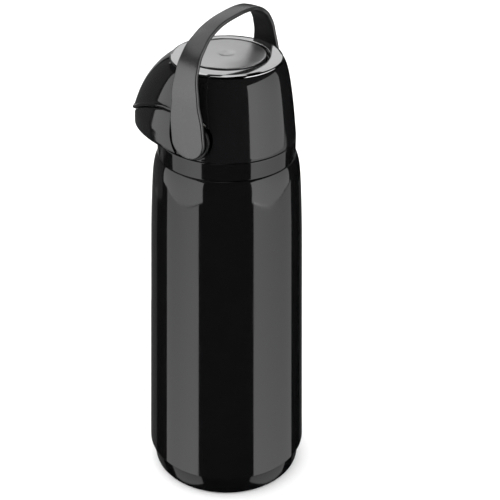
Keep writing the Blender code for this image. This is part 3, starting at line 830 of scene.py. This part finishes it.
def chin_floor():
    """Floor plate between the wall and the head's round base."""
    outer = []
    R0 = 48.2
    for i in range(0, 241):
        a = math.pi + math.pi * i / 240
        p = head_point(a, 290.8, 1.4)
        if math.hypot(p.x, p.y) > R0 + 0.2:
            outer.append((p.x, p.y))
    a0 = math.atan2(outer[0][1], outer[0][0])
    a1 = math.atan2(outer[-1][1], outer[-1][0])
    inner = []
    for i in range(0, 61):
        a = a1 + (a0 - a1) * i / 60
        inner.append((R0 * math.cos(a), R0 * math.sin(a)))
    loop = outer + inner
    n = len(loop)
    z0, z1 = HEAD_Z0 + 0.2, 291.7
    verts = [(x, y, z0) for x, y in loop] + [(x, y, z1) for x, y in loop]
    faces = [tuple(range(n)), tuple(reversed(range(n, 2 * n)))]
    faces += [(i, (i + 1) % n, n + (i + 1) % n, n + i) for i in range(n)]
    return verts, faces


chin_verts, chin_faces = build_chin()
chin = piece("nose_shell", chin_verts, chin_faces, GLOSS_SMALL, "nose_lower_shell")
recalc(chin)
cut(chin, [chin_floor()], "UNION")
cut(chin, [cylinder(7.4, 280.0, 300.0, "Z", (0, -64.0, 0), 64)])

turned("rim", "rim_ring",
       [(30.6, 348.6, 0.2), (30.6, 351.0, 0.5), (34.0, 351.0, 4.0), (37.6, 350.6, 3.0), (39.3, 349.95, 1.0),
        (39.9, 349.2, 0.5), (39.9, 348.6, 0.2)], RIM, 192, n=6)
turned("guide_sleeve", "button_guide",
       [(28.5, 347.8), (30.3, 347.8), (30.3, 345.0), (37.0, 345.0), (37.0, 342.8), (30.3, 342.8), (30.3, 340.4),
        (28.5, 340.4)], SATIN, 128)

SCREW_R = 39.8
SCREWS = [(SCREW_R * math.cos(math.radians(45 + 90 * i)), SCREW_R * math.sin(math.radians(45 + 90 * i)))
          for i in range(4)]
base_plate = turned("pump_base_plate", "pump_base",
                    [(47.8, 294.1), (47.8, 291.6), (45.6, 291.6), (45.6, 270.4), (43.4, 270.4), (43.4, 291.6),
                     (8.4, 291.6), (8.4, 294.1)], SATIN, 128)
cut(base_plate, [cylinder(3.0, 280.0, 300.0, "Z", (20, 20, 0), 32)]
    + [cylinder(1.9, 280.0, 300.0, "Z", (x, y, 0), 24) for x, y in SCREWS])
lid = turned("closure_plate", "closure_disc",
             [(5.8, 270.0), (5.8, 268.5), (40.0, 268.5), (45.2, 268.5), (45.2, 270.0)], SATIN, 128, r=0.3)
cut(lid, [cylinder(3.0, 260.0, 280.0, "Z", (20, 20, 0), 32)])
turned("closure_gasket", "closure_ring", [(37.4, 268.2), (37.4, 266.4), (42.0, 266.4), (42.0, 268.2)], SILICONE, 96,
       r=0.5)
turned("riser_gasket", "riser_seal", [(5.3, 291.8), (8.1, 291.8), (8.1, 293.8), (5.3, 293.8)], SILICONE, 48, r=0.5)
valve = turned("valve_housing", "valve_body",
               [(5.3, 294.4), (11.0, 294.4), (11.0, 303.8), (3.0, 303.8), (3.0, 301.6), (5.3, 301.6)], NATURAL, 72)
cut(valve, [y_cylinder(3.3, -10.0, 0.0, SPOUT_Z), y_cylinder(4.9, -14.0, -8.0, SPOUT_Z)])
turned("outlet_flap", "outlet_valve_flap", [(0, 302.9), (2.7, 302.9), (2.7, 302.0), (0, 302.0)], SILICONE, 40,
       closed=False, r=0.2)
chamber = turned("pump_chamber", "air_chamber",
                 [(4.5, 306.2), (37.0, 306.2), (37.0, 296.6), (43.0, 296.6), (43.0, 294.5), (35.0, 294.5),
                  (35.0, 304.2), (4.5, 304.2)], SATIN, 96)
cut(chamber, [y_cylinder(5.4, -46.0, -26.0, SPOUT_Z)]
    + [cylinder(1.9, 293.5, 297.5, "Z", (x, y, 0), 24) for x, y in SCREWS])
turned("inlet_flap", "inlet_valve_flap",
       [(0, 307.4), (7.0, 307.2), (7.0, 306.6), (3.6, 306.6), (3.6, 303.9), (0, 303.9)], SILICONE, 40, closed=False,
       r=0.2)
for i, (x, y) in enumerate(SCREWS):
    s = turned("screw_%d" % (i + 1), "chamber_screw_%d" % (i + 1),
               [(0, 299.0), (2.2, 299.0, 0.8), (3.0, 298.0), (3.0, 296.9), (1.5, 296.9), (1.5, 286.5), (0.5, 284.8),
                (0, 284.8)], STEEL, 32, closed=False, at=(x, y, 0), r=0.15)
    cross = []
    for w, d in ((0.35, 1.6), (1.6, 0.35)):
        v = [(x + sx * w, y + sy * d, z) for z in (298.1, 300.0) for sx, sy in ((-1, -1), (1, -1), (1, 1), (-1, 1))]
        f = [(0, 3, 2, 1), (4, 5, 6, 7), (0, 1, 5, 4), (1, 2, 6, 5), (2, 3, 7, 6), (3, 0, 4, 7)]
        cross.append((v, f))
    cut(s, cross)


def swept(path, radius, sides, caps=True):
    """A round bar along a path of points: its vertices, faces and rings."""
    p = [Vector(q) for q in path]
    verts, rings = [], []
    d = (p[1] - p[0]).normalized()
    u = d.orthogonal().normalized()
    for i, q in enumerate(p):
        t = (p[min(i + 1, len(p) - 1)] - p[max(i - 1, 0)]).normalized()
        u = (u - t * u.dot(t)).normalized()
        v = t.cross(u)
        ring = []
        for k in range(sides):
            a = 2 * math.pi * k / sides
            verts.append(tuple(q + (u * math.cos(a) + v * math.sin(a)) * radius))
            ring.append(len(verts) - 1)
        rings.append(ring)
    faces = []
    for a, b in zip(rings, rings[1:]):
        faces += [(a[k], a[(k + 1) % sides], b[(k + 1) % sides], b[k]) for k in range(sides)]
    if caps:
        faces += [tuple(reversed(rings[0])), tuple(rings[-1])]
    return verts, faces, rings


bend = [(y, z) for y, z, _ in arc(-58.0, SPOUT_Z - 6.0, 6.0, 90, 180, 14)]
run = [(0, -8.4 - (49.6) * i / 12, SPOUT_Z) for i in range(12)] + [(0, y, z) for y, z in bend] + [(0, -64.0, 291.2)]
ov, of_, orings = swept(run, 4.5, 32, False)
iv, if_, irings = swept(run, 3.2, 32, False)
off = len(ov)
tube_faces = of_ + [tuple(reversed([k + off for k in f])) for f in if_]
for ends in ((orings[0], irings[0], True), (orings[-1], irings[-1], False)):
    a, b, flip = ends
    for k in range(32):
        f = (a[k], a[(k + 1) % 32], b[(k + 1) % 32] + off, b[k] + off)
        tube_faces.append(tuple(reversed(f)) if not flip else f)
spout = piece("spout_pipe", ov + iv, tube_faces, NATURAL, "spout_tube", 35)
recalc(spout)
turned("nozzle", "spout_nozzle",
       [(4.9, 293.9), (6.0, 293.9), (6.9, 293.2), (6.9, 290.5), (6.3, 290.1), (4.9, 290.1)], SATIN, 56,
       at=(0, -64.0, 0), r=0.25)


def bellows_profile():
    """Three rounded folds between the clamped foot and the top flange."""
    z0, z1, folds, r_out, r_in, wall = 308.2, 335.6, 3, 33.0, 28.0, 1.2
    mid, amp = (r_out + r_in) / 2, (r_out - r_in) / 2
    n = 96
    out, inn = [], []
    for i in range(n + 1):
        t = i / n
        w = -math.cos(2 * math.pi * folds * t)
        w = math.copysign(abs(w) ** 0.8, w)
        z = z0 + (z1 - z0) * t
        out.append((mid + amp * w, z, 0.0))
        inn.append((mid + amp * w - wall, z, 0.0))
    prof = [(33.0, 306.6), (33.0, 307.8, 0.3)] + out + [(33.6, 336.0), (33.6, 336.9)]
    prof += [(24.0, 336.9), (24.0, 335.8)] + list(reversed(inn)) + [(26.8, 306.6)]
    return prof


bell = turned("bellows_sleeve", "bellows", bellows_profile(), SILICONE, 96, r=0.3)
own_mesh(bell)
turned("clamp_ring", "bellows_clamp_ring", [(33.4, 306.6), (33.4, 308.8), (36.6, 308.8), (36.6, 306.6)], SATIN, 96,
       r=0.3)
turns, per = 4, 56
helix = []
for i in range(turns * per + 1):
    t = i / (turns * per)
    e = 0.12
    if t < e:
        h = t * t / (2 * e * (1 - e))
    elif t > 1 - e:
        h = 1 - (1 - t) ** 2 / (2 * e * (1 - e))
    else:
        h = (t - e / 2) / (1 - e)
    a = 2 * math.pi * turns * t
    helix.append((16.0 * math.cos(a), 16.0 * math.sin(a), 307.4 + 28.2 * h))
sv, sf, _ = swept(helix, 0.8, 14)
coil = piece("coil_spring", sv, sf, STEEL, "return_spring", 40)
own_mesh(coil)

# ------------------------------------------------------------------ button
turned("press_button", "press_disc",
       [(0.0, DISC_Z - 0.55)] + [(r, DISC_Z - 0.55 + 0.95 * ease((r - 1.5) / 5.6), 0.0) for r in
                                np.linspace(1.0, 7.4, 14)]
       + [(r, DISC_Z + 0.40 - 0.42 * ((r - 7.4) / 20.0) ** 2, 0.0) for r in np.linspace(8.2, 26.6, 16)]
       + [(DISC_R - 0.2, DISC_Z - 0.05, 0.7), (DISC_R, 341.2), (26.3, 341.2), (26.3, 349.0), (0.0, 349.0)],
       DISC, 192, closed=False, n=5)
turned("plunger", "button_plunger",
       [(3.2, 337.2), (34.0, 337.2), (34.0, 340.0), (25.9, 340.0), (25.9, 348.6), (23.6, 348.6), (23.6, 340.0),
        (3.2, 340.0)], SATIN, 96)
turned("vent_plug", "vent_valve",
       [(0, 341.6), (5.2, 341.6), (5.2, 340.3), (2.9, 340.3), (2.9, 336.0), (0, 336.0)], SILICONE, 40, closed=False,
       r=0.25)

# ------------------------------------------------------------------ handle
ARCH_Z, ARCH_P, TONGUE_R = 330.9, 2.69, 13.2


def strap_half_width(s):
    keys = [(0.0, 13.2), (12.0, 13.1), (30.0, 10.9), (52.0, 8.6), (66.0, 7.7), (80.0, 6.6), (95.0, 6.1),
            (150.0, 6.1)]
    for (a, wa), (b, wb) in zip(keys, keys[1:]):
        if s <= b:
            return wa + (wb - wa) * ease((s - a) / (b - a))
    return keys[-1][1]


def build_strap():
    """The strap as a bent plate with rounded edges and two round tongues."""
    path = [(STRAP_X, PIVOT_Z + z) for z in np.linspace(-TONGUE_R, ARCH_Z - PIVOT_Z, 30)[:-1]]
    start = len(path)
    for i in range(721):
        a = math.pi / 2 * i / 720
        path.append((STRAP_X * math.cos(a) ** (2 / ARCH_P) if i < 720 else 0.0,
                     ARCH_Z + (STRAP_TOP - ARCH_Z) * math.sin(a) ** (2 / ARCH_P)))
    pts = np.array(path + [(-x, z) for x, z in reversed(path[:-1])])
    length = np.concatenate([[0.0], np.cumsum(np.hypot(*np.diff(pts, axis=0).T))])
    total = length[-1]
    length = length - TONGUE_R                      # 0 at the pivot
    end = total - 2 * TONGUE_R                      # the other pivot

    def at(s):
        x, z = np.interp(s, length, pts[:, 0]), np.interp(s, length, pts[:, 1])
        d = 0.9
        x0, z0 = np.interp(s - d, length, pts[:, 0]), np.interp(s - d, length, pts[:, 1])
        x1, z1 = np.interp(s + d, length, pts[:, 0]), np.interp(s + d, length, pts[:, 1])
        t = Vector((x1 - x0, 0, z1 - z0)).normalized()
        h = max(0.0, (z - PIVOT_Z) / 79.0)
        lean = PIVOT_Y - 7.05 * h + 4.57 * h ** 2 + 3.37 * h ** 3
        return Vector((x, lean, z)), Vector((t.z, 0, -t.x))

    Re, Ri, T = 1.15, 0.7, STRAP_T
    section = []                                   # (kind, value, inset, height): right half, top to bottom
    for f in np.linspace(0, 1, 7):
        section.append((f, Re, 0.28 * (1 - f * f)))
    for k in range(1, 7):
        t = math.radians(90 - 90 * k / 6)
        section.append((1.0, Re * (1 - math.cos(t)), -Re * (1 - math.sin(t))))
    for k in range(0, 5):
        t = math.radians(90 * k / 4)
        section.append((1.0, Ri * (1 - math.cos(t)), -T + Ri * (1 - math.sin(t))))
    for f in (0.66, 0.33, 0.0):
        section.append((f, Ri, -T))
    stations = [("end", 90 - 90 * k / 20.0) for k in range(20)]
    stations += [("run", s) for s in np.linspace(0.0, end, 190)]
    stations += [("far", 90 * k / 20.0) for k in range(1, 21)]
    verts, grid = [], []
    for kind, value in stations:
        ring = []
        full = [(1, e) for e in section] + [(-1, e) for e in reversed(section[1:-1])]
        for side, (f, d, h) in full:
            if kind == "run":
                s, w = value, strap_half_width(min(value, end - value)) - d
            else:
                t = math.radians(value)
                s = -(TONGUE_R - d) * math.sin(t)
                w = (TONGUE_R - d) * math.cos(t)
                if kind == "far":
                    s = end - s
            p, n = at(s)
            verts.append(tuple(p + Vector((0, side * f * w, 0)) + n * h))
            ring.append(len(verts) - 1)
        grid.append(ring)
    faces = []
    m = len(grid[0])
    for a, b in zip(grid, grid[1:]):
        faces += [(a[k], a[(k + 1) % m], b[(k + 1) % m], b[k]) for k in range(m)]
    return verts, faces


def weld(ob, distance=0.00002):
    bm = bmesh.new()
    bm.from_mesh(ob.data)
    bmesh.ops.remove_doubles(bm, verts=bm.verts, dist=distance)
    bmesh.ops.dissolve_degenerate(bm, dist=0.000002, edges=bm.edges)
    bmesh.ops.recalc_face_normals(bm, faces=bm.faces)
    bm.to_mesh(ob.data)
    bm.free()


strap_verts, strap_faces = build_strap()
strap = piece("carry_strap", strap_verts, strap_faces, STRAP, "handle_strap")
weld(strap)
cut(strap, [cylinder(4.3, STRAP_X - STRAP_T - 1.5, STRAP_X - STRAP_T + 1.5, "X", (0, PIVOT_Y, PIVOT_Z), 48),
            cylinder(4.3, STRAP_X - STRAP_T - 1.5, STRAP_X - STRAP_T + 1.5, "-X", (0, PIVOT_Y, PIVOT_Z), 48)])
strap.data.set_sharp_from_angle(angle=math.radians(50))

for sx, side in ((1, "right"), (-1, "left")):
    ax = "X" if sx > 0 else "-X"
    x_in = STRAP_X - STRAP_T
    turned("hub_" + side, "pivot_hub_" + side,
           [(4.4, x_in - 0.4), (HUB_R, x_in - 0.4, 0.7), (HUB_R, 48.3), (8.0, 48.3), (8.0, 46.4), (4.4, 46.4)],
           HUB, 96, axis=ax, at=(0, PIVOT_Y, PIVOT_Z), n=4)
    turned("pin_" + side, "handle_pin_" + side,
           [(0, 52.4), (3.9, 52.4), (3.9, 45.2), (6.6, 45.2), (6.6, 43.4), (0, 43.4)], SATIN, 48, closed=False,
           axis=ax, at=(0, PIVOT_Y, PIVOT_Z))
    turned("washer_" + side, "pivot_washer_" + side, [(4.2, 46.1), (7.6, 46.1), (7.6, 45.5), (4.2, 45.5)], STEEL, 48,
           axis=ax, at=(0, PIVOT_Y, PIVOT_Z), r=0.15)

# ------------------------------------------------------------------ studio
bpy.ops.mesh.primitive_plane_add(size=1)
floor = bpy.context.active_object
floor.name = "studio_floor"
floor.scale = (9.0, 9.0, 1.0)
paper = Nodes("studio_paper", (0.93, 0.93, 0.93), 0.9)
paper.colour(paper.noise(3.0, 3.0), (0.92, 0.92, 0.92), (0.94, 0.94, 0.94))
floor.data.materials.append(paper.mat)
floor.visible_glossy = False

world = bpy.data.worlds.new("studio")
scene.world = world
world.use_nodes = True
world.node_tree.nodes["Background"].inputs["Color"].default_value = (1.0, 1.0, 1.0, 1.0)
world.node_tree.nodes["Background"].inputs["Strength"].default_value = 1.2
world.cycles_visibility.glossy = False

TOWARDS = Vector((0.8526, 0.5225, 0))
ACROSS = Vector((-0.5225, 0.8526, 0))


def panel(name, beta, z0, z1, half_angle, radiance, distance=1.2, fade=None, to_right=False):
    """An upright soft box: beta is its bearing from the front, plus towards
    the right; z0 and z1 are its lower and upper edges (m).  fade is the share
    of its light that is left at the edge farther round."""
    b = math.radians(beta)
    d = TOWARDS * math.cos(b) + ACROSS * math.sin(b)
    light = bpy.data.lights.new(name, "AREA")
    light.shape = "RECTANGLE"
    light.size = 2 * distance * math.tan(math.radians(half_angle))
    light.size_y = z1 - z0
    light.energy = math.pi * light.size * light.size_y * radiance
    if fade is not None:
        light.use_nodes = True
        nt = light.node_tree
        em = nt.nodes["Emission"]
        geo = nt.nodes.new("ShaderNodeNewGeometry")
        sep = nt.nodes.new("ShaderNodeSeparateXYZ")
        ramp = nt.nodes.new("ShaderNodeMapRange")
        ramp.interpolation_type = "SMOOTHSTEP"
        ramp.inputs["From Min"].default_value = 0.0 if to_right else 1.0
        ramp.inputs["From Max"].default_value = 1.0 if to_right else 0.0
        ramp.inputs["To Min"].default_value = 1.0
        ramp.inputs["To Max"].default_value = fade
        nt.links.new(geo.outputs["Parametric"], sep.inputs[0])
        nt.links.new(sep.outputs[0], ramp.inputs["Value"])
        nt.links.new(ramp.outputs["Result"], em.inputs["Strength"])
    ob = bpy.data.objects.new(name, light)
    scene.collection.objects.link(ob)
    ob.location = d * distance + Vector((0, 0, (z0 + z1) / 2))
    ob.rotation_euler = (-d).to_track_quat("-Z", "Y").to_euler()
    ob.visible_camera = False
    return ob


def overhead(name, beta, elevation, distance, width, height, radiance):
    """A soft box that looks down at the top of the airpot."""
    b, e = math.radians(beta), math.radians(elevation)
    d = (TOWARDS * math.cos(b) + ACROSS * math.sin(b)) * math.cos(e) + Vector((0, 0, math.sin(e)))
    light = bpy.data.lights.new(name, "AREA")
    light.shape = "RECTANGLE"
    light.size, light.size_y = width, height
    light.energy = math.pi * width * height * radiance
    ob = bpy.data.objects.new(name, light)
    scene.collection.objects.link(ob)
    ob.location = Vector((0, 0, 0.33)) + d * distance
    ob.rotation_euler = (-d).to_track_quat("-Z", "Y").to_euler()
    ob.visible_camera = False
    return ob


# lower panels light the casing, upper panels the head; each fades outwards
panel("left_low", -69.0, -1.6, -0.20, 29.0, 2.0, fade=0.55)
panel("left_high", -71.0, -0.20, 0.78, 37.0, 2.45, fade=0.62)
panel("right_low", 77.5, -1.6, -0.20, 36.5, 1.95, fade=0.42, to_right=True)
panel("right_high", 74.0, -0.20, 0.80, 35.5, 2.7, fade=0.50, to_right=True)
panel("edge_left_low", -148.0, -1.6, -0.30, 21.0, 0.09)
panel("edge_left_high", -132.0, -0.30, 0.60, 21.0, 0.10)
panel("crest_left", -168.0, -0.60, 0.60, 11.0, 0.34)
panel("edge_right_low", 160.0, -1.6, -0.30, 14.0, 0.06)
overhead("soft_back", 180.0, 34.0, 1.5, 2.4, 1.1, 0.92)
overhead("soft_top", -100.0, 70.0, 1.5, 1.9, 1.5, 1.15)
